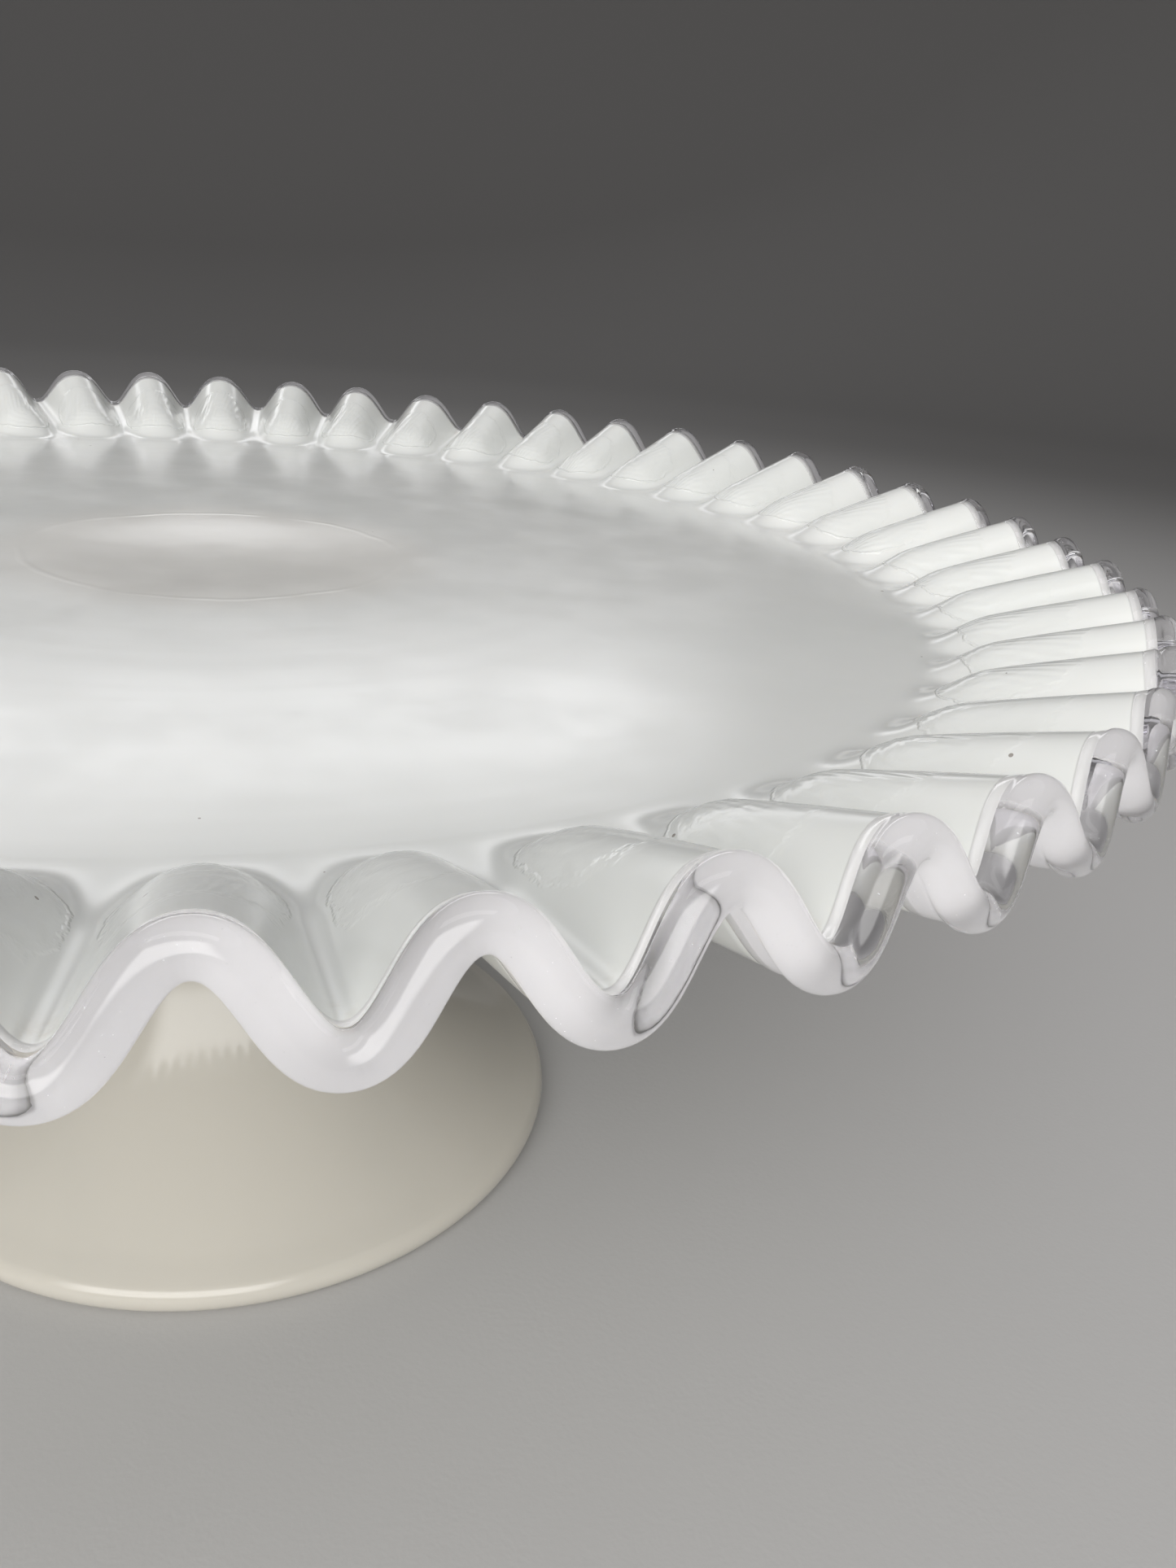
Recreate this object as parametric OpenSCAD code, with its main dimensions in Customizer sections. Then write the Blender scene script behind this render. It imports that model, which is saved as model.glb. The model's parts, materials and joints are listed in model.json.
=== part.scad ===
// Cake stand: a round milk-glass plate with a crimped border, a clear glass
// crest spun onto the border's edge, and a hollow trumpet-shaped pedestal.
// Millimetres. +Z is up, the origin is the centre of the ring that the foot
// stands on, and one crest of the crimping faces the front, -Y.

/* [Plate] */
// Height of the cake surface above the table
plate_z = 118; // [90:1:160]
// Thickness of the glass under the cake
plate_t = 5; // [4:0.5:7]
// Radius of the shallow dip over the pedestal, where the hot stem was stuck on
dip_r = 37; // [30:1:60]
// Depth of that dip
dip_depth = 1.1; // [0.3:0.1:1.5]

/* [Crimped border] */
// Outside diameter over the clear crest
rim_d = 330; // [310:1:350]
// Number of crimps round the border
crimps = 50; // [36:1:60]
// Radius where the flat plate starts to turn up
bend_r = 125; // [115:1:130]
// Radius where the crimps start
crimp_r = 126; // [125:1:136]
// Rise of the edge, halfway between ridge and trough, above the cake surface
rim_rise = 7; // [4:0.5:10]
// Height of a ridge, or depth of a trough, from that halfway line at the edge
crimp_h = 4.4; // [2:0.1:5]
// How much further out a trough's edge lies than the halfway line
trough_reach = 1; // [0:0.1:2]
// Thickness of the milk glass at its edge
edge_t = 3.9; // [3:0.1:5]

/* [Clear crest] */
// Thickness of the clear bead round the edge
bead_t = 4.6; // [4:0.1:6]
// Width of clear glass outside the milk glass, halfway between ridge and trough
clear_w = 4.3; // [3:0.1:7]
// How much wider the clear glass is on a ridge, and narrower in a trough
clear_change = 0.3; // [0:0.1:2]

/* [Pedestal] */
// Outside diameter of the foot
foot_d = 136; // [110:1:170]
// Thickness of the foot's rounded edge
foot_edge_t = 6; // [4:0.5:8]
// Outside radius of the stem at its narrowest
neck_r = 24; // [18:1:30]
// Height of the narrowest place
neck_z = 76; // [60:1:85]
// Outside radius of the stem's top, where it joins the plate
top_r = 36; // [30:1:45]
// Thickness of the pedestal's wall
wall_t = 5; // [4:0.5:7]

/* [Hidden] */

milk = [0.93, 0.94, 0.91];
clear = [0.86, 0.88, 0.94, 0.6];

plate_under_z = plate_z - plate_t;
plate_middle_z = plate_z - plate_t / 2;
rim_z = plate_z + rim_rise;

// The bead's centre line lies this far from the axis, halfway up a crimp.
bead_r = rim_d / 2 - trough_reach - bead_t / 2;

// Facets: steps round each crimp, and places across the border from 0 at the
// bend to 1 at the milk glass's edge.
crimp_steps = 8;
steps = crimps * crimp_steps;
across = [0, 0.15, 0.35, 0.65, 1];
// Directions round the outside of the bead, from straight up to straight down.
bead_turns = [0, 45, 90, 135, 180];

// Shares of the way from the bend to the bead over which rise and crimps begin.
bend_soft = 0.4;
crimp_soft = 0.35;
// Rise and crimps grow with these powers of the distance: a low one grows early.
bend_power = 0.95;
crimp_power = 0.62;
// Share of a third harmonic that straightens the flanks between ridge and trough.
flank_straight = 0.04;
// Step over which slopes are measured, in millimetres and degrees.
probe = 0.001;

// Curve points on the pedestal's outline, for each of its two flares.
flare_steps = 14;
// A flare's radius grows with this power of the distance from the neck.
foot_power = 3;
top_power = 2.4;
// Thickness of glass left between the hollow stem and the plate.
stem_cap_t = 9;

function soft(s) =
    let (t = max(0, min(1, s)))
    t * t * (3 - 2 * t);

function share(r, start) = max(0, (r - start) / (bead_r - start));

// Height of the border's middle above the plate's middle, without crimps.
function rise(r) =
    let (s = share(r, bend_r))
    (rim_z - plate_middle_z) * pow(s, bend_power) * soft(s / bend_soft);

// Half the height between ridge and trough.
function crimp(r) =
    let (s = share(r, crimp_r))
    crimp_h * pow(s, crimp_power) * soft(s / crimp_soft);

// 1 on a ridge and -1 in a trough; a is the angle round the stand.
function wave(a) =
    (cos(crimps * a) - flank_straight * cos(3 * crimps * a)) / (1 - flank_straight);

// The sheet of glass halfway through its thickness. a is 0 at the front.
function middle(r, a) =
    let (
        height = crimp(r) * wave(a),
        out = r - trough_reach * height / crimp_h
    )
    [out * sin(a), -out * cos(a), plate_middle_z + rise(r) + height];

function unit(v) = v / norm(v);

// Upward direction square to the sheet.
function upward(r, a) =
    unit(cross(
        middle(r + probe, a) - middle(r - probe, a),
        middle(r, a + probe) - middle(r, a - probe)
    ));

// Outward direction along the sheet.
function outward(r, a) = unit(middle(r, a) - middle(r - probe, a));

// Mean radius of the milk glass's edge, which changes from ridge to trough.
function milk_edge(a) = bead_r + bead_t / 2 - clear_w - clear_change * wave(a);

function border_r(a, s) = bend_r + (milk_edge(a) - bend_r) * s;

// A point on the border's top (side 1) or underside (side -1).
function border(a, s, side) =
    let (
        r = border_r(a, s),
        half = (plate_t + (edge_t - plate_t) * s) / 2
    )
    middle(r, a) + side * half * upward(r, a);

// A point round the outside of the bead.
function bead(a, turn) =
    middle(bead_r, a)
    + bead_t / 2 * (cos(turn) * upward(bead_r, a) + sin(turn) * outward(bead_r, a));

function angle(i) = i * 360 / steps;

// Two triangles for each step round between ring n and the next ring. Rings
// are runs of points, one for each step round the stand.
function band(n, next) = [
    for (i = [0 : steps - 1])
        let (
            j = (i + 1) % steps,
            a = n * steps + i,
            b = n * steps + j,
            c = next * steps + j,
            d = next * steps + i
        )
        each [[a, b, c], [a, c, d]]
];

function ring(n) = [for (i = [0 : steps - 1]) n * steps + i];

// Plate and crimped border in one sheet of glass: rings from the top of the
// bend out to the edge, then back along the underside.
module crimped_plate() {
    count = len(across);
    top = [for (s = across) for (i = [0 : steps - 1]) border(angle(i), s, 1)];
    under = [for (n = [count - 1 : -1 : 0]) for (i = [0 : steps - 1]) border(angle(i), across[n], -1)];
    last = 2 * count - 1;
    sides = [for (n = [0 : last - 1]) each band(n, n + 1)];
    cake_face = [for (n = [steps - 1 : -1 : 0]) n];
    polyhedron(
        points = concat(top, under),
        faces = concat([cake_face], sides, [ring(last)]),
        convexity = 10
    );
}

// The dip over the pedestal: a shallow round hollow with a sloping side.
module dip() {
    side_w = 3;
    over = 1;
    translate([0, 0, plate_z - dip_depth])
        rotate_extrude($fn = 96)
            polygon([
                [0, 0],
                [dip_r - side_w, 0],
                [dip_r, dip_depth],
                [dip_r, dip_depth + over],
                [0, dip_depth + over]
            ]);
}

module plate() {
    color(milk)
        difference() {
            crimped_plate();
            dip();
        }
}

// The crest starts on the milk glass's edge, which both share, and ends in a
// round bead.
module clear_crest() {
    top_edge = [for (i = [0 : steps - 1]) border(angle(i), 1, 1)];
    bead_points = [for (turn = bead_turns) for (i = [0 : steps - 1]) bead(angle(i), turn)];
    under_edge = [for (i = [0 : steps - 1]) border(angle(i), 1, -1)];
    last = len(bead_turns) + 1;
    outside = [for (n = [0 : last - 1]) each band(n, n + 1)];
    joint = band(last, 0);
    color(clear)
        polyhedron(
            points = concat(top_edge, bead_points, under_edge),
            faces = concat(outside, joint),
            convexity = 10
        );
}

// Half outline of a trumpet: from the foot's flare up through the neck to the
// flare under the plate. in is how far the outline lies inside the outer face.
function foot_flare(t, in) =
    [neck_r - in + (foot_d / 2 - foot_edge_t / 2 - neck_r) * pow(t, foot_power),
     neck_z - (neck_z - foot_edge_t) * t];

function top_flare(t, in) =
    [neck_r - in + (top_r - neck_r) * pow(t, top_power),
     neck_z + (plate_under_z - neck_z) * t];

// Hollow inside the pedestal, open at the table.
module pedestal_hollow() {
    under = 1;
    mouth_r = foot_d / 2 - foot_edge_t - wall_t / 2;
    cap_z = plate_under_z - stem_cap_t;
    round_r = neck_r - wall_t;
    rotate_extrude($fn = 96)
        polygon(concat(
            [[0, -under], [mouth_r, -under], [mouth_r, 0]],
            [for (n = [flare_steps - 1 : -1 : 1])
                let (p = foot_flare(n / flare_steps, wall_t))
                [min(p[0], mouth_r), p[1] - wall_t]],
            [for (turn = [0 : 15 : 90])
                [round_r * cos(turn), cap_z - round_r + round_r * sin(turn)]]
        ));
}

module pedestal() {
    edge_r = foot_edge_t / 2;
    edge_at = foot_d / 2 - edge_r;
    color(milk)
        difference() {
            rotate_extrude($fn = 96)
                polygon(concat(
                    [[0, 0]],
                    [for (turn = [-90 : 15 : 60])
                        [edge_at + edge_r * cos(turn), edge_r + edge_r * sin(turn)]],
                    [for (n = [flare_steps : -1 : 0]) foot_flare(n / flare_steps, 0)],
                    [for (n = [1 : flare_steps]) top_flare(n / flare_steps, 0)],
                    [[0, plate_under_z]]
                ));
            pedestal_hollow();
        }
}

plate();
clear_crest();
pedestal();
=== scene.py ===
"""Cake stand: milk-glass plate with a crimped border, clear glass crest and hollow pedestal.

Lengths are in metres unless a name says otherwise. +Z is up and -Y is the front.
An angle round the stand, a, is 0 at the front and grows to the right.
"""

import json
import math

import bpy
import numpy as np
from mathutils import Matrix, Vector


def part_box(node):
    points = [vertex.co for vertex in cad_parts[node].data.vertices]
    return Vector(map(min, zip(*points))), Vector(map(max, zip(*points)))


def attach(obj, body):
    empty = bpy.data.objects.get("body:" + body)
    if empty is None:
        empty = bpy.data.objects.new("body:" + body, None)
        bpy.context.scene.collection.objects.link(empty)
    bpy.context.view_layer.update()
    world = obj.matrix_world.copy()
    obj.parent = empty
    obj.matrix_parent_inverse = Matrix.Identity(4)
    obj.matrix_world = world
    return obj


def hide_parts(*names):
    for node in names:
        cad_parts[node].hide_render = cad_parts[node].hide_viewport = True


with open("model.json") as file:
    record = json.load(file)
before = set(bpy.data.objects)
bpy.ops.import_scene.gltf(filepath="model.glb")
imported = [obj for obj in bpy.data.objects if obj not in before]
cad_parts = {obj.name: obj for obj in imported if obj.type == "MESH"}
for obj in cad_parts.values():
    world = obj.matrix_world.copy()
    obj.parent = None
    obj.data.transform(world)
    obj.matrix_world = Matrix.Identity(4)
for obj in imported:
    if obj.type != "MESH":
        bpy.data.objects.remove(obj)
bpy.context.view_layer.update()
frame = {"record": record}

MM = 0.001

# ---------------------------------------------------------------- sizes from the frame

MOUNTS = {mount["name"]: mount for mount in frame["record"]["mounts"]}
CREST_LOW, CREST_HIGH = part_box("clear_crest")
FOOT_LOW, FOOT_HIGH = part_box("pedestal")

PLATE_Z = MOUNTS["cake_face"]["pos_m"][2]
PLATE_UNDER_Z = FOOT_HIGH[2]
PLATE_T = PLATE_Z - PLATE_UNDER_Z
RIM_R = (CREST_HIGH[0] - CREST_LOW[0]) / 2
FOOT_R = (FOOT_HIGH[0] - FOOT_LOW[0]) / 2

# Crimped border. A power below 1 makes a height grow faster near the bend than near the
# rim, and BEND_SOFT and CRIMP_SOFT are the shares of the border over which it starts softly.
CRIMPS = 50
BEND_R = 125 * MM
CRIMP_R = 126 * MM
RIM_RISE = 7 * MM
CRIMP_H = 4.4 * MM
TROUGH_REACH = 1 * MM
EDGE_T = 3.9 * MM
BEND_SOFT = 0.4
CRIMP_SOFT = 0.35
BEND_POWER = 0.95
CRIMP_POWER = 0.62
# Above 0 makes the flanks between ridge and trough steeper in the middle
FLANK_STRAIGHT = 0.04

# Clear crest. BEAD_R is the middle of the bead. The milk glass ends CLEAR_W short of the
# bead's outer side, and CLEAR_CHANGE more than that on a ridge.
BEAD_T = 4.6 * MM
BEAD_R = RIM_R - TROUGH_REACH - BEAD_T / 2
CLEAR_W = 4.35 * MM
CLEAR_CHANGE = 0.3 * MM
# Thickness under the sheet between the milk glass and the bead
GROOVE_T = 3.7 * MM
# How much further out the milk glass reaches on its upper side than underneath
UNDERCUT = 2.7 * MM
NOSE_BULGE = 0.3 * MM
# Clear glass between the milk glass's upper corner and the bead's skin
CORNER_COVER = 0.35 * MM
# The film of clear glass that laps over the milk glass, as steps of (distance in from the
# milk glass's edge, height over its skin). It starts inside the milk glass.
LAP_START = ((1.6 * MM, -0.45 * MM), (1.45 * MM, -0.02 * MM), (1.2 * MM, 0.07 * MM))
TOP_LAP = LAP_START + ((0.6 * MM, 0.12 * MM), (0, 0.2 * MM))
UNDER_LAP = LAP_START + ((0.6 * MM, 0.09 * MM), (0, 0.03 * MM))

# Dip over the pedestal. Its slope runs over DIP_SLOPE of its radius and ends at DIP_END.
DIP_R = 37 * MM
DIP_DEPTH = 1.4 * MM
DIP_END = 1.04
DIP_SLOPE = 0.95
DIP_MARK_R = 36 * MM
DIP_MARK_W = 1.2 * MM
DIP_MARK_WANDER = 5 * MM

# Pedestal
NECK_R = 24 * MM
NECK_Z = 76 * MM
TOP_R = 36 * MM
WALL_T = 5 * MM
FOOT_EDGE_T = 6 * MM
FOOT_POWER = 3
TOP_POWER = 2.4
STEM_CAP_T = 9 * MM
# The small roll where the pedestal was stuck on, and where up the stem's flare it starts
JOINT_ROLL = 1.6 * MM
ROLL_START = 0.85
# Rounding between the ground ring that it stands on and the hollow
LIP = 0.8 * MM

# Points round each piece and the floor
PLATE_STEPS = CRIMPS * 30
CREST_STEPS = CRIMPS * 48
PEDESTAL_STEPS = 192
FLOOR_STEPS = 96


# ---------------------------------------------------------------- crimped sheet of glass


def soft(s):
    """0 to 1, with a level start and end."""
    t = np.clip(s, 0, 1)
    return t * t * (3 - 2 * t)


def share(r, start):
    """How far r is from the radius start to the bead: 0 up to the start, 1 at the bead."""
    return np.maximum(0, (r - start) / (BEAD_R - start))


def rise(r):
    """How far the border has climbed above the flat plate's middle at this radius."""
    s = share(r, BEND_R)
    return (RIM_RISE + PLATE_T / 2) * s**BEND_POWER * soft(s / BEND_SOFT)


def crimp(r):
    """How far a ridge stands above the border's slope at this radius, or a trough below."""
    s = share(r, CRIMP_R)
    return CRIMP_H * s**CRIMP_POWER * soft(s / CRIMP_SOFT)


def drift(a, terms):
    """A slow change round the stand: a sum of (waves round, size, shift)."""
    return sum(size * np.sin(waves * a + shift) for waves, size, shift in terms)


# Hand crimping is never quite even: where each crimp sits (in radians of its own wave), how
# tall it is (as a share), how level the edge is, how far out the iron marked it, and how
# wide the clear glass runs. Each row is (waves round, size, shift).
PLACE_DRIFT = ((3, 0.16, 0.4), (7, 0.13, 2.1), (13, 0.10, 4.4), (22, 0.08, 1.2))
HEIGHT_DRIFT = ((5, 0.025, 1.0), (11, 0.03, 3.3), (19, 0.035, 0.2))
LEVEL_DRIFT = ((2, 0.18 * MM, 0.7), (5, 0.14 * MM, 2.9), (9, 0.1 * MM, 5.1))
MARK_DRIFT = ((17, 0.5, 0.3), (23, 0.4, 2.2), (9, 0.3, 1.7))
CLEAR_DRIFT = ((13, 0.6 * MM, -2.5), (21, 0.14 * MM, 2.6), (37, 0.1 * MM, 4.0))


def phase(a):
    """The crimping's own angle, which makes a whole turn for each crimp."""
    return CRIMPS * a + drift(a, PLACE_DRIFT)


def wave(a):
    """The crimping: 1 on a ridge and -1 in a trough."""
    p = phase(a)
    return (np.cos(p) - FLANK_STRAIGHT * np.cos(3 * p)) / (1 - FLANK_STRAIGHT)


def middle(r, a):
    """The sheet halfway through its thickness."""
    height = crimp(r) * wave(a) * (1 + drift(a, HEIGHT_DRIFT))
    out = r - TROUGH_REACH * height / CRIMP_H
    level = drift(a, LEVEL_DRIFT) * share(r, BEND_R)
    z = PLATE_Z - PLATE_T / 2 + rise(r) + height + level
    return np.stack([out * np.sin(a), -out * np.cos(a), z], axis=-1)


def unit(v):
    return v / np.linalg.norm(v, axis=-1, keepdims=True)


# A step small enough to measure the sheet's slope with
PROBE = 0.001 * MM


def upward(r, a):
    """The sheet's normal, on the side that the cake stands on."""
    along = middle(r + PROBE, a) - middle(r - PROBE, a)
    turn = PROBE / BEAD_R
    around = middle(r, a + turn) - middle(r, a - turn)
    return unit(np.cross(along, around))


def outward(r, a):
    """The direction in the sheet that leads away from the axis."""
    return unit(middle(r, a) - middle(r - PROBE, a))


def milk_edge(a, side):
    """How far out the milk glass reaches. side is 1 on top, -1 underneath, 0 halfway."""
    halfway = BEAD_R + BEAD_T / 2 - CLEAR_W - CLEAR_CHANGE * wave(a) + drift(a, CLEAR_DRIFT)
    return halfway + side * UNDERCUT / 2


def sheet_half(s):
    """Half the milk glass's thickness, from 0 at the bend to 1 at its edge."""
    return (PLATE_T + (EDGE_T - PLATE_T) * s) / 2


# ---------------------------------------------------------------- mesh helpers


def make_mesh(name, points, faces):
    mesh = bpy.data.meshes.new(name)
    mesh.from_pydata(points.tolist(), [], faces)
    mesh.validate()
    mesh.shade_smooth()
    piece = bpy.data.objects.new(name, mesh)
    bpy.context.scene.collection.objects.link(piece)
    return piece


def band_faces(first, second, steps):
    """Quads between two rings of points, which start at these point numbers."""
    return [
        (first + i, second + i, second + (i + 1) % steps, first + (i + 1) % steps)
        for i in range(steps)
    ]


def lathe_mesh(name, rings, closed=False, top_pole=None, under_pole=None):
    """Joins rings of points into a skin.

    Poles close its first and last ring, or closed joins the last ring to the first.
    """
    steps = len(rings[0])
    points = np.concatenate(rings)
    faces = []
    for n in range(len(rings) - 1):
        faces += band_faces(n * steps, (n + 1) * steps, steps)
    last = (len(rings) - 1) * steps
    if closed:
        faces += band_faces(last, 0, steps)
    if top_pole is not None:
        pole = len(points)
        points = np.concatenate([points, [top_pole]])
        faces += [(pole, i, (i + 1) % steps) for i in range(steps)]
    if under_pole is not None:
        pole = len(points)
        points = np.concatenate([points, [under_pole]])
        faces += [(pole, last + (i + 1) % steps, last + i) for i in range(steps)]
    return make_mesh(name, points, faces)


def round_ring(r, z, steps):
    a = np.arange(steps) * math.tau / steps
    return np.stack([r * np.sin(a), -r * np.cos(a), np.full(steps, z)], axis=-1)


def set_attribute(piece, name, values):
    """Stores one number for each point, for the materials to read. Poles get 0."""
    padded = np.zeros(len(piece.data.vertices))
    padded[: len(values)] = values
    attribute = piece.data.attributes.new(name, "FLOAT", "POINT")
    attribute.data.foreach_set("value", padded)


# ---------------------------------------------------------------- the three pieces

# The attribute "across" runs over the border from 0 at the bend to 1 at the milk glass's
# edge. The film of clear glass starts at FILM_START. The others stand for places off it.
FILM_START = 0.956
ON_FLAT = -0.5
ON_NOSE = 1.05


def build_plate():
    """The flat plate with its dip, the crimped border and its rounded edge."""
    a = np.arange(PLATE_STEPS) * math.tau / PLATE_STEPS
    rings = []
    across = []

    def flat_ring(r, z):
        rings.append(round_ring(r, z, PLATE_STEPS))
        across.append(ON_FLAT)

    def border_ring(s, side):
        r = BEND_R + (milk_edge(a, side) - BEND_R) * s
        rings.append(middle(r, a) + side * sheet_half(s) * upward(r, a))
        across.append(s)

    for s in (0.09, 0.2, 0.32, 0.44, 0.54, 0.64, 0.74, 0.84, 0.95, DIP_END):
        flat_ring(DIP_R * s, PLATE_Z - DIP_DEPTH * soft((DIP_END - s) / DIP_SLOPE))
    for r in (60 * MM, 95 * MM, 118 * MM):
        flat_ring(r, PLATE_Z)
    for s in np.linspace(0, 1, 24):
        border_ring(s, 1)
    # The slanted end of the milk glass, inside the crest.
    for down in (0.06, 0.16, 0.3, 0.5, 0.7, 0.86, 0.96):
        side = 1 - 2 * down
        bulge = math.sqrt(down) * (1 - down) * NOSE_BULGE
        r = milk_edge(a, side)
        rings.append(middle(r, a) + side * sheet_half(1) * upward(r, a) + bulge * outward(r, a))
        across.append(ON_NOSE)
    for s in np.linspace(1, 0, 14):
        border_ring(s, -1)
    for r in (118 * MM, 80 * MM, 40 * MM):
        flat_ring(r, PLATE_UNDER_Z)

    plate = lathe_mesh(
        "plate_glass",
        rings,
        top_pole=(0, 0, PLATE_Z - DIP_DEPTH),
        under_pole=(0, 0, PLATE_UNDER_Z),
    )
    # off_ridge is 0 on a ridge and 0.5 in a trough, and lean is 1 and -1 on its flanks.
    crimps = phase(a) / math.tau
    off_ridge = np.abs(crimps - np.round(crimps))
    set_attribute(plate, "across", np.repeat(across, PLATE_STEPS))
    set_attribute(plate, "off_ridge", np.tile(off_ridge, len(rings)))
    set_attribute(plate, "lean", np.tile(np.sin(phase(a)), len(rings)))
    set_attribute(plate, "mark_shift", np.tile(drift(a, MARK_DRIFT), len(rings)))
    return plate


def build_crest():
    """Clear glass gathered round the milk glass's edge, ending in a round bead."""
    a = np.arange(CREST_STEPS) * math.tau / CREST_STEPS
    milk_half = sheet_half(1)
    groove_half = GROOVE_T / 2
    bead_half = BEAD_T / 2
    # The bead's circle is as thick as the groove here.
    neck_r = BEAD_R - math.sqrt(bead_half**2 - groove_half**2)

    def join_turn(side):
        """Where the bead starts, as an angle out from its top: just outside the milk glass."""
        join_r = np.maximum(milk_edge(a, side) + CORNER_COVER, neck_r)
        return np.arcsin(np.clip((join_r - BEAD_R) / bead_half, -1, 1))

    def sheet_ring(r, height):
        return middle(r, a) + height * upward(r, a)

    def lap_rings(side, lap):
        edge = milk_edge(a, side)
        return [sheet_ring(edge - back, side * (milk_half + over)) for back, over in lap]

    top = lap_rings(1, TOP_LAP)
    under = lap_rings(-1, UNDER_LAP)
    under_edge = milk_edge(a, -1)
    for t in (0.3, 0.6, 0.85):
        r = under_edge + (neck_r - under_edge) * t
        under.append(sheet_ring(r, -milk_half + (milk_half - groove_half) * soft(t)))

    bead_r = np.full(CREST_STEPS, BEAD_R)
    centre = middle(bead_r, a)
    up = upward(bead_r, a)
    out = outward(bead_r, a)
    first = join_turn(1)
    last = math.pi - join_turn(-1)
    bead = []
    for t in np.linspace(0, 1, 23):
        turn = (first + (last - first) * t)[:, np.newaxis]
        bead.append(centre + bead_half * (np.cos(turn) * up + np.sin(turn) * out))
    crest = lathe_mesh("crest_glass", top + bead + under[::-1], closed=True)
    # Light reaches the milk glass through the crest.
    crest.visible_shadow = False
    return crest


def foot_flare(t, inset):
    """The trumpet's outline below the neck, from 0 at the neck to 1 at the foot."""
    reach = FOOT_R - FOOT_EDGE_T / 2 - NECK_R
    r = NECK_R - inset + reach * t**FOOT_POWER
    return r, NECK_Z - (NECK_Z - FOOT_EDGE_T) * t


def top_flare(t):
    """The outline from 0 at the neck to 1 under the plate, where it ends in a small roll."""
    roll = JOINT_ROLL * max(0, (t - ROLL_START) / (1 - ROLL_START)) ** 2
    r = NECK_R + (TOP_R - NECK_R) * t**TOP_POWER + roll
    return r, NECK_Z + (PLATE_UNDER_Z - NECK_Z) * t


def build_pedestal():
    """Hollow trumpet foot and stem, turned from one outline."""
    edge_r = FOOT_EDGE_T / 2
    edge_at = FOOT_R - edge_r
    mouth_r = FOOT_R - FOOT_EDGE_T - WALL_T / 2
    # Down the outside, from the joint under the plate to the foot's edge.
    outline = [top_flare(t) for t in np.linspace(1, 0, 32, endpoint=False)]
    outline += [foot_flare(t, 0) for t in np.linspace(0, 0.985, 48)]
    outline += [
        (edge_at + edge_r * math.cos(turn), edge_r + edge_r * math.sin(turn))
        for turn in np.radians(np.linspace(62, -90, 18))
    ]
    # Across the flat ring that it stands on, and up the hollow.
    outline += [(mouth_r + LIP, 0), (mouth_r + LIP / 5, LIP / 4), (mouth_r, LIP)]
    for t in np.linspace(0.93, 0.02, 40):
        r, z = foot_flare(t, WALL_T)
        outline.append((min(r, mouth_r), max(z - WALL_T, 2 * LIP)))
    # The hollow ends in a dome under the stem's cap.
    round_r = NECK_R - WALL_T
    cap_z = PLATE_UNDER_Z - STEM_CAP_T
    outline += [
        (round_r * math.cos(turn), cap_z - round_r + round_r * math.sin(turn))
        for turn in np.radians(np.linspace(0, 84, 14))
    ]
    rings = [round_ring(r, z, PEDESTAL_STEPS) for r, z in outline]
    return lathe_mesh(
        "pedestal_glass",
        rings,
        top_pole=(0, 0, PLATE_UNDER_Z),
        under_pole=(0, 0, cap_z),
    )


# ---------------------------------------------------------------- materials


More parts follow.
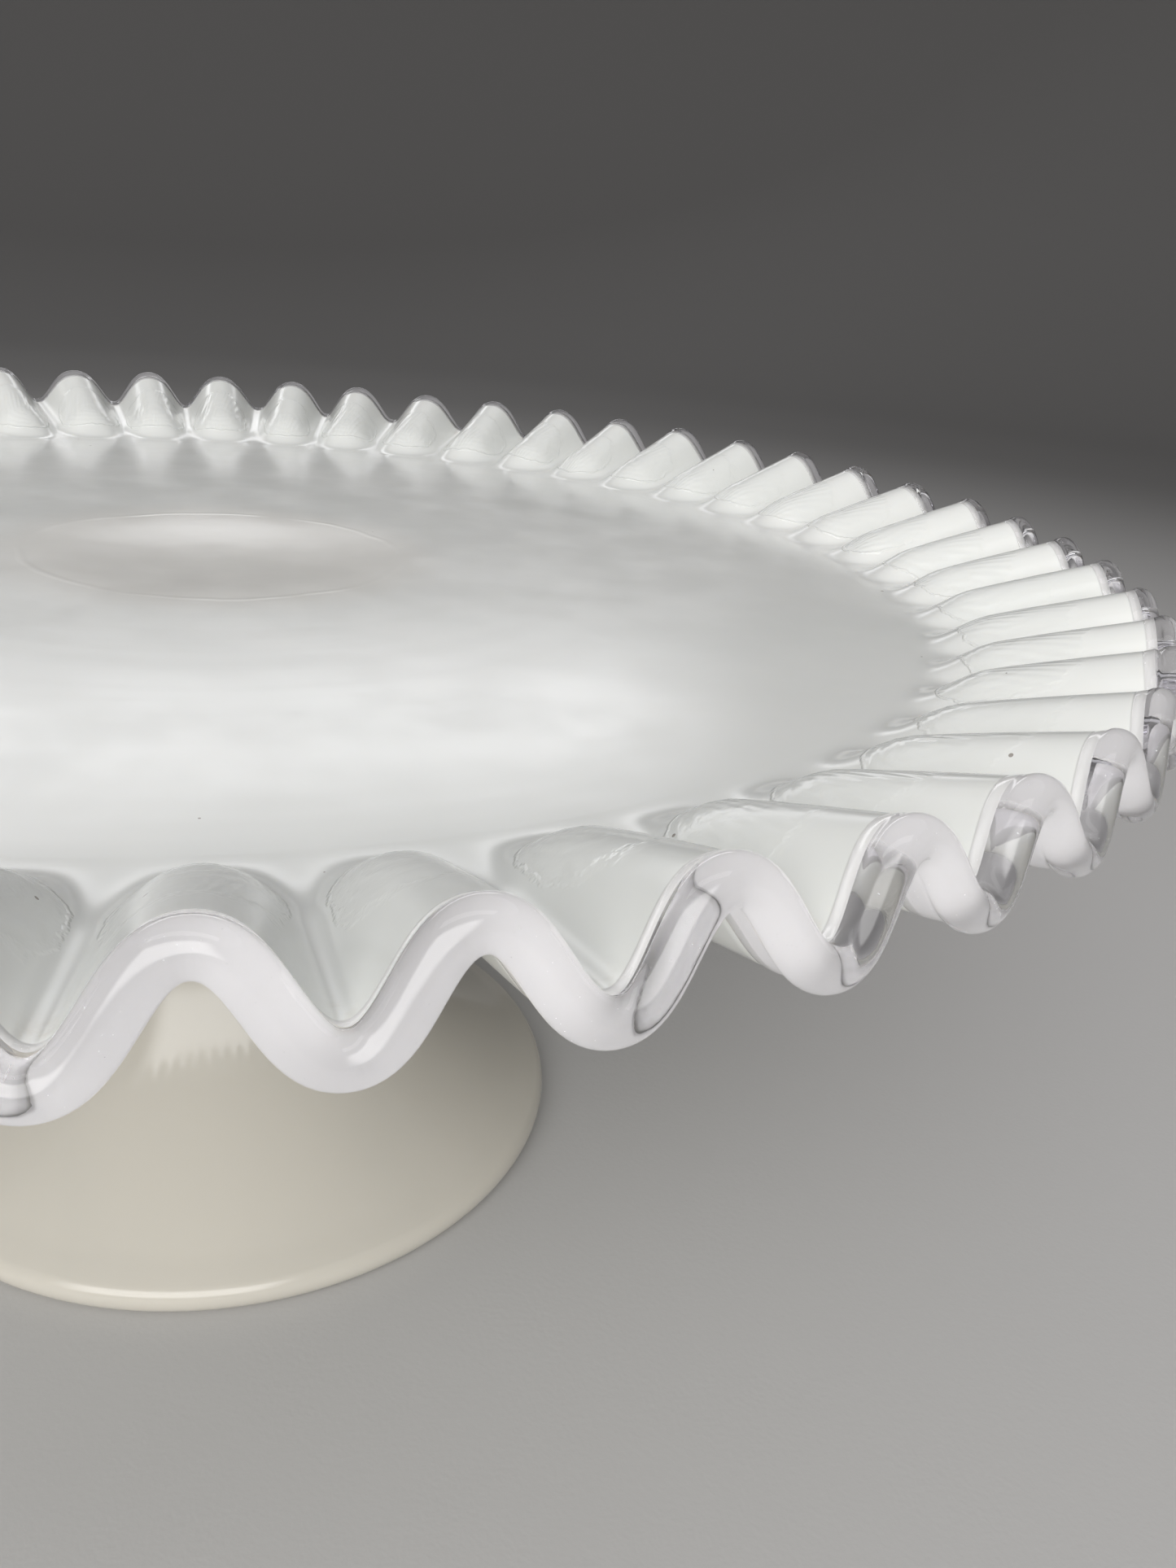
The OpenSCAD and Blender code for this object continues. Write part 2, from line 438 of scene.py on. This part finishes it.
class Graph:
    """Short forms for building a material's nodes."""

    def __init__(self, name):
        self.material = bpy.data.materials.new(name)
        self.material.use_nodes = True
        self.tree = self.material.node_tree
        self.shader = self.tree.nodes["Principled BSDF"].inputs

    def node(self, kind, **settings):
        node = self.tree.nodes.new(kind)
        for key, value in settings.items():
            setattr(node, key, value)
        return node

    def feed(self, socket, value):
        if isinstance(value, bpy.types.NodeSocket):
            self.tree.links.new(value, socket)
        else:
            socket.default_value = value

    def math(self, operation, *values):
        node = self.node("ShaderNodeMath", operation=operation)
        for socket, value in zip(node.inputs, values):
            self.feed(socket, value)
        return node.outputs[0]

    def product(self, first, *others):
        for other in others:
            first = self.math("MULTIPLY", first, other)
        return first

    def attribute(self, name):
        return self.node("ShaderNodeAttribute", attribute_name=name).outputs["Fac"]

    def place(self):
        """The point's place in the row frame, in metres."""
        return self.node("ShaderNodeTexCoord").outputs["Object"]

    def place_parts(self):
        split = self.node("ShaderNodeSeparateXYZ")
        self.feed(split.inputs[0], self.place())
        return split.outputs

    def radius(self):
        """Distance from the stand's axis."""
        x, y, _ = self.place_parts()
        return self.math("SQRT", self.math("ADD", self.product(x, x), self.product(y, y)))

    def noise(self, scale, detail=2.0, roughness=0.5, distortion=0.0):
        node = self.node("ShaderNodeTexNoise")
        self.feed(node.inputs["Vector"], self.place())
        node.inputs["Scale"].default_value = scale
        node.inputs["Detail"].default_value = detail
        node.inputs["Roughness"].default_value = roughness
        node.inputs["Distortion"].default_value = distortion
        return node.outputs["Fac"]

    def line_noise(self, along, scale):
        """Noise that only changes along one number, such as the radius."""
        node = self.node("ShaderNodeTexNoise", noise_dimensions="1D")
        self.feed(node.inputs["W"], along)
        node.inputs["Scale"].default_value = scale
        return node.outputs["Fac"]

    def ramp(self, value, low, high, out_low=0.0, out_high=1.0):
        """Maps low..high softly to out_low..out_high, and holds it there outside."""
        node = self.node("ShaderNodeMapRange", clamp=True, interpolation_type="SMOOTHSTEP")
        self.feed(node.inputs["Value"], value)
        node.inputs["From Min"].default_value = low
        node.inputs["From Max"].default_value = high
        node.inputs["To Min"].default_value = out_low
        node.inputs["To Max"].default_value = out_high
        return node.outputs["Result"]

    def near(self, value, centre, width):
        """1 where value is centre, falling to 0 at width from it."""
        gap = self.math("ABSOLUTE", self.math("SUBTRACT", value, centre))
        return self.ramp(gap, 0.0, width, 1.0, 0.0)

    def mix(self, factor, a, b):
        node = self.node("ShaderNodeMix", data_type="RGBA")
        self.feed(node.inputs["Factor"], factor)
        # The mix node's two colours in and its colour out
        self.feed(node.inputs[6], a)
        self.feed(node.inputs[7], b)
        return node.outputs[2]

    def bump(self, height, distance, under=None):
        """Relief of this many metres, on top of the relief in under."""
        node = self.node("ShaderNodeBump")
        node.inputs["Distance"].default_value = distance
        self.feed(node.inputs["Height"], height)
        if under is not None:
            self.feed(node.inputs["Normal"], under)
        return node.outputs["Normal"]

    def specks(self, scale, size, chance):
        """1 on small round spots; chance is the share of cells that have one."""
        cells = self.node("ShaderNodeTexVoronoi")
        cells.inputs["Scale"].default_value = scale
        self.feed(cells.inputs["Vector"], self.place())
        split = self.node("ShaderNodeSeparateColor")
        self.feed(split.inputs[0], cells.outputs["Color"])
        chosen = self.math("LESS_THAN", split.outputs[0], chance)
        reach = self.math("MULTIPLY", split.outputs[1], size)
        spot = self.math("LESS_THAN", cells.outputs["Distance"], reach)
        return self.math("MULTIPLY", chosen, spot)


MILK = (0.80, 0.81, 0.785, 1.0)
MILK_SHADE = (0.765, 0.78, 0.755, 1.0)
# Painted shade: the milk glass under the clear film, darker because the crest keeps light in
MILK_SHADED_UNDER_FILM = (0.55, 0.55, 0.54, 1.0)
MILK_OVER_STEM = (0.80, 0.775, 0.725, 1.0)
# Painted shade: the milk glass's end inside the crest
MILK_END_SHADED = (0.58, 0.575, 0.575, 1.0)
# Painted shade: the pedestal's milk glass is painted darker than the plate's, and warmer
PEDESTAL_MILK_SHADED = (0.66, 0.63, 0.56, 1.0)
PEDESTAL_SWIRL_SHADED = (0.63, 0.605, 0.54, 1.0)
GRIME = (0.42, 0.33, 0.22, 1.0)
SPECK = (0.16, 0.12, 0.09, 1.0)
CLEAR = (0.972, 0.965, 0.99, 1.0)
GLASS_IOR = 1.5


def milk_glass(name, colour, shade, smooth, hazy):
    """Glossy opaque white glass with faint swirls and a slightly wavy surface.

    Its roughness runs from smooth to hazy in patches. Returns what a material builds on:
    the graph, the colour, the roughness and the normal.
    """
    g = Graph(name)
    swirl = g.ramp(g.noise(9, detail=3, distortion=1.2), 0.35, 0.7)
    g.shader["IOR"].default_value = GLASS_IOR
    g.shader["Subsurface Weight"].default_value = 0.3
    g.shader["Subsurface Radius"].default_value = (1.0, 0.95, 0.85)
    g.shader["Subsurface Scale"].default_value = 2 * MM
    roughness = g.ramp(g.noise(60, detail=4, roughness=0.6), 0.3, 0.75, smooth, hazy)
    wavy = g.bump(g.noise(14), 0.2 * MM)
    fine = g.bump(g.noise(120, detail=3), 0.02 * MM, under=wavy)
    return g, g.mix(swirl, colour, shade), roughness, fine


# The iron's mark on a ridge: its middle and its reach inwards as shares of the border, its
# half width as a share of a crimp, and its relief
MARK_ACROSS = 0.41
MARK_LENGTH = 0.15
MARK_WIDTH = 0.31
MARK_RELIEF = 0.16 * MM


def chill_marks(g, across, normal):
    """Marks that the crimping iron left on the inner end of each ridge.

    Each is a lens with a thin raised outline, rings inside it and short ripples. Returns
    the normal, and how much of the mark's own colour shows.
    """
    off_ridge = g.attribute("off_ridge")
    shift = g.attribute("mark_shift")
    centre = g.math("MULTIPLY_ADD", shift, 0.04, MARK_ACROSS)
    outwards = g.math("DIVIDE", g.math("SUBTRACT", across, centre), MARK_LENGTH)
    # Drawn out towards the crest, like the tool that made it.
    stretched = g.math("MINIMUM", outwards, g.math("MULTIPLY", outwards, 0.4))
    half_width = g.math("MULTIPLY_ADD", shift, 0.07, MARK_WIDTH)
    sideways = g.math("DIVIDE", off_ridge, half_width)
    squares = g.math("ADD", g.product(stretched, stretched), g.product(sideways, sideways))
    wobble = g.math("MULTIPLY_ADD", g.noise(170, detail=4, roughness=0.65), 0.5, -0.25)
    reach = g.math("ADD", g.math("SQRT", squares), wobble)
    inside = g.ramp(reach, 0.9, 1.0, 1.0, 0.0)
    inner_side = g.ramp(stretched, -0.2, 0.9, 1.0, 0.1)
    outline = g.product(g.near(reach, 1.0, 0.07), inner_side)
    rings = g.product(g.math("SINE", g.math("MULTIPLY", reach, 26.0)), inside, inner_side)
    slant = g.math("MULTIPLY_ADD", g.attribute("lean"), 28.0, g.math("MULTIPLY", outwards, 6.0))
    patches = g.ramp(g.noise(75, detail=1), 0.42, 0.58)
    ripples = g.product(g.math("SINE", slant), inside, patches)
    waves = g.math("ADD", g.product(rings, 0.12), g.product(ripples, 0.16))
    raised = g.product(inside, 0.5)
    height = g.math("ADD", g.math("ADD", outline, waves), raised)
    return g.bump(height, MARK_RELIEF, under=normal), raised


def plate_material():
    """Milk glass with the marks of turning, crimping and use."""
    g, colour, roughness, normal = milk_glass("milk_glass_plate", MILK, MILK_SHADE, 0.13, 0.22)
    across = g.attribute("across")
    radius = g.radius()
    on_border = g.ramp(across, -0.02, 0.05)
    # Faint rings from turning the hot plate, and a broken line round the dip.
    spun = g.product(g.line_noise(radius, 110), g.math("SUBTRACT", 1.0, on_border))
    normal = g.bump(spun, 0.02 * MM, under=normal)
    wander = g.math("MULTIPLY_ADD", g.noise(45), DIP_MARK_WANDER, radius)
    broken = g.ramp(g.noise(30), 0.4, 0.6)
    dip_mark = g.product(g.near(wander, DIP_MARK_R, DIP_MARK_W), broken)
    normal = g.bump(dip_mark, 0.03 * MM, under=normal)
    # The pedestal's warmer glass shows through a little.
    colour = g.mix(g.ramp(radius, 30 * MM, 46 * MM, 0.5, 0.0), colour, MILK_OVER_STEM)
    normal, marked = chill_marks(g, across, normal)
    colour = g.mix(marked, colour, MILK_SHADE)
    # Brown film in the troughs, next to the crest.
    near_edge = g.ramp(across, 0.78, 0.99)
    in_trough = g.ramp(g.attribute("off_ridge"), 0.3, 0.49)
    patchy = g.ramp(g.noise(220, detail=4, roughness=0.65), 0.38, 0.68)
    colour = g.mix(g.product(near_edge, in_trough, patchy, 0.42), colour, GRIME)
    # Dark specks, mostly on the border.
    few = g.specks(150, 0.045, 0.12)
    many = g.product(g.specks(230, 0.075, 0.3), on_border)
    colour = g.mix(g.product(g.math("MAXIMUM", few, many), 0.7), colour, SPECK)
    # Painted shade: the clear glass keeps light in, so the milk glass inside it, under the film
    # and at its end, is painted darker for the same look.
    colour = g.mix(g.ramp(across, FILM_START, FILM_START + 0.006), colour, MILK_SHADED_UNDER_FILM)
    colour = g.mix(g.ramp(across, 0.998, 1.0), colour, MILK_END_SHADED)
    g.feed(g.shader["Base Color"], colour)
    g.feed(g.shader["Roughness"], roughness)
    g.feed(g.shader["Normal"], normal)
    return g.material


def pedestal_material():
    """Warmer milk glass, painted darker than the plate's as shade on the foot, and scuffed
    underneath.
    """
    g, colour, roughness, normal = milk_glass(
        "milk_glass_pedestal", PEDESTAL_MILK_SHADED, PEDESTAL_SWIRL_SHADED, 0.07, 0.15
    )
    # The ring that it stands on is ground, and grimy from the tables it has stood on.
    height = g.place_parts()[2]
    ground = g.ramp(height, 0.2 * MM, 0.9 * MM, 1.0, 0.0)
    patchy = g.ramp(g.noise(300, detail=4, roughness=0.7), 0.3, 0.6, 0.4, 1.0)
    scuffed = g.product(ground, patchy)
    g.feed(g.shader["Roughness"], g.math("ADD", roughness, g.product(scuffed, 0.45)))
    g.feed(g.shader["Base Color"], g.mix(g.product(scuffed, 0.35), colour, GRIME))
    g.feed(g.shader["Normal"], normal)
    return g.material


def crest_material():
    """Clear glass with faint cords in it, and dust and haze on it."""
    g = Graph("clear_glass_crest")
    g.shader["Base Color"].default_value = CLEAR
    g.shader["IOR"].default_value = GLASS_IOR
    dusty = g.ramp(g.noise(55, detail=3), 0.42, 0.6, 0.15, 1.0)
    coarse = g.specks(950, 0.08, 0.4)
    fine = g.specks(2300, 0.12, 0.4)
    dust = g.product(g.math("MAXIMUM", coarse, fine), dusty)
    haze = g.ramp(g.noise(90, detail=4), 0.45, 0.8, 0.0, 0.05)
    g.feed(g.shader["Transmission Weight"], g.math("MULTIPLY_ADD", dust, -0.7, 1.0))
    g.feed(g.shader["Roughness"], g.math("ADD", haze, g.product(dust, 0.5)))
    cords = g.bump(g.noise(150, distortion=0.5), 0.06 * MM)
    g.feed(g.shader["Normal"], g.bump(g.noise(700, detail=3), 0.006 * MM, under=cords))
    return g.material


# ---------------------------------------------------------------- stage, lights, camera


PAPER = (0.50, 0.495, 0.485, 1.0)
PAPER_PALE = (0.54, 0.535, 0.525, 1.0)
PAPER_FAR = (0.16, 0.157, 0.152, 1.0)
# The paper turns greyer between these distances from the stand's axis
PAPER_NEAR_R = 0.35
PAPER_FAR_R = 1.4
FLOOR_R = 1.7
COVE_R = 0.9
WALL_Z = 2.4


def floor_material():
    """Matt paper with a fine grain."""
    g = Graph("pale_floor")
    paper = g.mix(g.noise(3), PAPER, PAPER_PALE)
    far = g.ramp(g.radius(), PAPER_NEAR_R, PAPER_FAR_R)
    g.feed(g.shader["Base Color"], g.mix(far, paper, PAPER_FAR))
    g.shader["Roughness"].default_value = 0.75
    g.feed(g.shader["Normal"], g.bump(g.noise(900), 0.04 * MM))
    return g.material


def build_stage():
    """A plain pale floor that curves up into a greyer wall all the way round."""
    outline = [(0.3, 0), (0.8, 0), (FLOOR_R, 0)]
    outline += [
        (FLOOR_R + COVE_R * math.sin(turn), COVE_R - COVE_R * math.cos(turn))
        for turn in np.radians(np.linspace(6, 90, 15))
    ]
    outline.append((FLOOR_R + COVE_R, WALL_Z))
    rings = [round_ring(r, z, FLOOR_STEPS) for r, z in outline]
    floor = lathe_mesh("floor", rings, top_pole=(0, 0, 0))
    floor.data.materials.append(floor_material())


# Colours of the lights
WHITE = (1.0, 0.99, 0.98)
DAYLIGHT = (0.98, 0.98, 1.0)
AMBIENT = (0.98, 0.965, 1.0, 1.0)
AMBIENT_STRENGTH = 0.42
# A softened light is this squared times stronger in its middle, for what its edges lose
SOFT_GAIN = 1.7


def soften(data, even):
    """Fades an area light towards its edges.

    even is how far from the middle it stays even in its two directions, where 0.5 is the edge.
    """
    data.use_nodes = True
    tree = data.node_tree
    across = tree.nodes.new("ShaderNodeNewGeometry").outputs["Parametric"]
    parts = tree.nodes.new("ShaderNodeSeparateXYZ")
    tree.links.new(across, parts.inputs[0])
    both = tree.nodes.new("ShaderNodeMath")
    both.operation = "MULTIPLY"
    for n, even_share in enumerate(even):
        from_centre = tree.nodes.new("ShaderNodeMath")
        from_centre.operation = "SUBTRACT"
        from_centre.inputs[1].default_value = 0.5
        distance = tree.nodes.new("ShaderNodeMath")
        distance.operation = "ABSOLUTE"
        fade = tree.nodes.new("ShaderNodeMapRange")
        fade.interpolation_type = "SMOOTHSTEP"
        fade.inputs["From Min"].default_value = even_share
        fade.inputs["From Max"].default_value = 0.5
        fade.inputs["To Min"].default_value = SOFT_GAIN
        fade.inputs["To Max"].default_value = 0.0
        tree.links.new(parts.outputs[n], from_centre.inputs[0])
        tree.links.new(from_centre.outputs[0], distance.inputs[0])
        tree.links.new(distance.outputs[0], fade.inputs["Value"])
        tree.links.new(fade.outputs["Result"], both.inputs[n])
    tree.links.new(both.outputs[0], tree.nodes["Emission"].inputs["Strength"])


def area_light(name, place, size, power, colour):
    """A flat rectangular light that faces the plate's middle. power is in watts."""
    data = bpy.data.lights.new(name, "AREA")
    data.shape = "RECTANGLE"
    data.size, data.size_y = size
    data.energy = power
    data.color = colour
    light = bpy.data.objects.new(name, data)
    light.location = place
    facing = Vector((0, 0, PLATE_Z)) - Vector(place)
    light.rotation_euler = facing.to_track_quat("-Z", "Y").to_euler()
    bpy.context.scene.collection.objects.link(light)
    return data


def build_lights():
    """Soft studio light: a strip above, a panel in front, a low window behind, and the room."""
    area_light("top_strip", (-0.1, -0.45, 1.25), (1.6, 0.3), 1.9, WHITE)
    front = area_light("front_panel", (-0.4, -1.75, 1.1), (2.8, 1.8), 25, WHITE)
    soften(front, (0.28, 0.28))
    # The plate mirrors this one as a wide pale band.
    back = area_light("back_window", (-0.42, 1.8, 0.9), (2.6, 0.46), 3.0, DAYLIGHT)
    soften(back, (0.3, 0.04))
    world = bpy.data.worlds.new("studio")
    world.use_nodes = True
    background = world.node_tree.nodes["Background"].inputs
    background["Color"].default_value = AMBIENT
    background["Strength"].default_value = AMBIENT_STRENGTH
    bpy.context.scene.world = world
    bpy.context.scene.view_settings.view_transform = "Standard"


# The camera's place, and its turn to the right, tilt down and roll.
CAMERA_AT = (0.0329, -0.2315, 0.1731)
CAMERA_YAW = math.radians(9.8)
CAMERA_TILT = math.radians(23.1)
CAMERA_ROLL = math.radians(5.39)
LENS_MM = 28.15


def build_camera():
    """The photograph's viewing angle, close to the front edge of the plate."""
    data = bpy.data.cameras.new("camera")
    data.lens = LENS_MM
    data.clip_start = 5 * MM
    camera = bpy.data.objects.new("camera", data)
    looking = Vector((
        math.sin(CAMERA_YAW) * math.cos(CAMERA_TILT),
        math.cos(CAMERA_YAW) * math.cos(CAMERA_TILT),
        -math.sin(CAMERA_TILT),
    ))
    level = Vector((math.cos(CAMERA_YAW), -math.sin(CAMERA_YAW), 0))
    right = Matrix.Rotation(-CAMERA_ROLL, 3, looking) @ level
    up = right.cross(looking)
    turn = Matrix((right, up, -looking)).transposed().to_4x4()
    camera.matrix_world = Matrix.Translation(CAMERA_AT) @ turn
    bpy.context.scene.collection.objects.link(camera)
    bpy.context.scene.camera = camera


# ---------------------------------------------------------------- put together

build_camera()
build_stage()
build_lights()

for piece, node, slot, material in (
    (build_plate(), "plate", "milk_glass", plate_material()),
    (build_crest(), "clear_crest", "clear_glass", crest_material()),
    (build_pedestal(), "pedestal", "milk_glass", pedestal_material()),
):
    piece.data.materials.append(material)
    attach(piece, "root")
    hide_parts(node)
